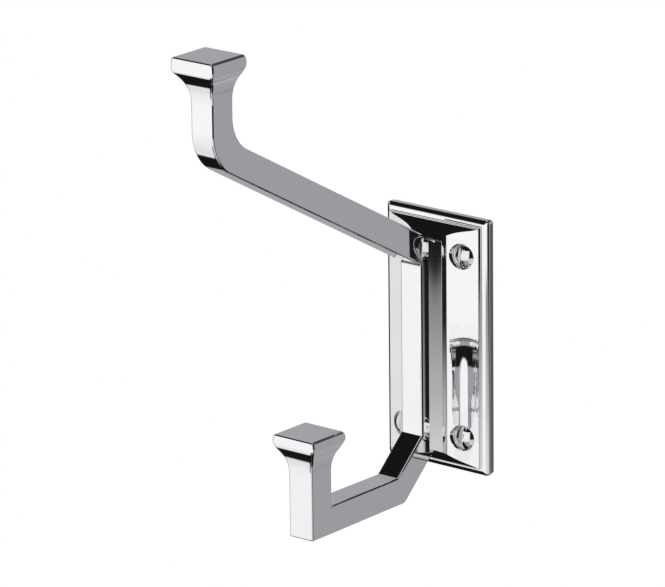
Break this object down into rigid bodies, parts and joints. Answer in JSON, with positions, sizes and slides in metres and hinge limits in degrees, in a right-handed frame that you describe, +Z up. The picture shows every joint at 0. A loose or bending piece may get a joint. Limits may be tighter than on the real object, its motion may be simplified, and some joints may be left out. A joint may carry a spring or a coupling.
{
  "type": "coat hook",
  "caption": "Wall-mounted hat and coat hook with a long sloping upper arm and a short lower hook, square end caps and a stepped rectangular plate.",
  "frame": {"origin": "middle of the plate's flat back face, on the wall's surface", "axes": "+X to the right along the wall, -Y out of the wall towards the caps, +Z up"},
  "size_m": [0.038, 0.1202, 0.1529],
  "materials": {
    "plate_chrome": "polished",
    "hook_chrome": "polished",
    "wood_screws": "polished",
    "hidden_screws": "zinc plated"
  },
  "bodies": {
    "root": {"backplate": "plate_chrome", "hook_body": "hook_chrome", "hook_screw_upper": "hidden_screws", "hook_screw_lower": "hidden_screws", "wood_screw_top_left": "wood_screws", "wood_screw_top_right": "wood_screws", "wood_screw_bottom_left": "wood_screws", "wood_screw_bottom_right": "wood_screws"}
  },
  "joints": []
}
